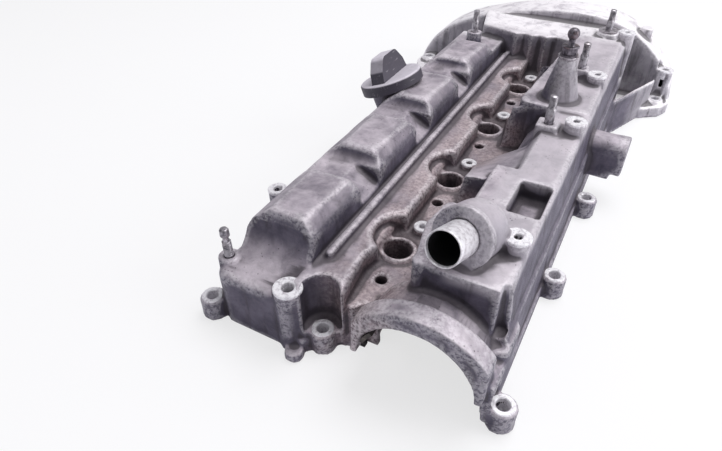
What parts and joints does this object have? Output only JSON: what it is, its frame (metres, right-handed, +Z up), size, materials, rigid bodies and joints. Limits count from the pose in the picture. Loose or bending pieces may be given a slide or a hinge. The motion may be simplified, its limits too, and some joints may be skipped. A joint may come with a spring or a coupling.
{
  "type": "engine valve cover",
  "caption": "Cast aluminium engine valve cover with a cam ridge, a row of injector wells, a breather outlet, studs and a screw-on oil filler cap",
  "frame": {"origin": "On the axis of the front injector well, in the plane of the rim that sits on the cylinder head.", "axes": "+X across the engine to the side with the breather, +Y along the engine from the front arch to the flared end, +Z up out of the cover."},
  "size_m": [0.292, 0.515, 0.1407],
  "materials": {
    "cast_aluminium": "sand-cast aluminium, weathered, with oil stains and bright machined seats",
    "cap_plastic": "moulded grey-black plastic",
    "pipe_steel": "pale zinc-plated tube",
    "zinc_steel": "dull zinc-plated steel with dark threads",
    "washer_steel": "plain steel washer",
    "sheet_steel": "oily pressed sheet",
    "seal_rubber": "black oil-resistant rubber",
    "old_sealant": "torn dark sealant"
  },
  "bodies": {
    "cover": {"cover_casting": "cast_aluminium", "perimeter_gasket": "seal_rubber", "injector_seal_1": "seal_rubber", "injector_seal_2": "seal_rubber", "injector_seal_3": "seal_rubber", "injector_seal_4": "seal_rubber", "breather_pipe": "pipe_steel", "baffle_plate": "sheet_steel", "baffle_screws": "zinc_steel", "stud_front_left": "zinc_steel", "stud_far_left": "zinc_steel", "stud_mid_block": "zinc_steel", "stud_tower_side": "zinc_steel", "stud_far_right": "zinc_steel", "roof_washer": "washer_steel", "ball_stud": "zinc_steel", "ball_stud_washer": "washer_steel", "arch_seal_remnant": "old_sealant"},
    "cap_carrier": {"oil_cap_seal": "seal_rubber"},
    "filler_cap": {"oil_filler_cap": "cap_plastic"}
  },
  "joints": [
    {"name": "cap_lift", "type": "slide", "parent": "cover", "child": "cap_carrier", "axis": [-0.3746, 0, 0.9272], "range_m": [0, 0.012]},
    {"name": "cap_turn", "type": "hinge", "parent": "cap_carrier", "child": "filler_cap", "pos_m": [-0.09, 0.169, 0.074], "axis": [-0.3746, 0, 0.9272], "range_deg": [0, 540]}
  ],
  "couplings": [
    {"joint": "cap_lift", "follows": "cap_turn", "m_per_rad": 0.00127}
  ]
}
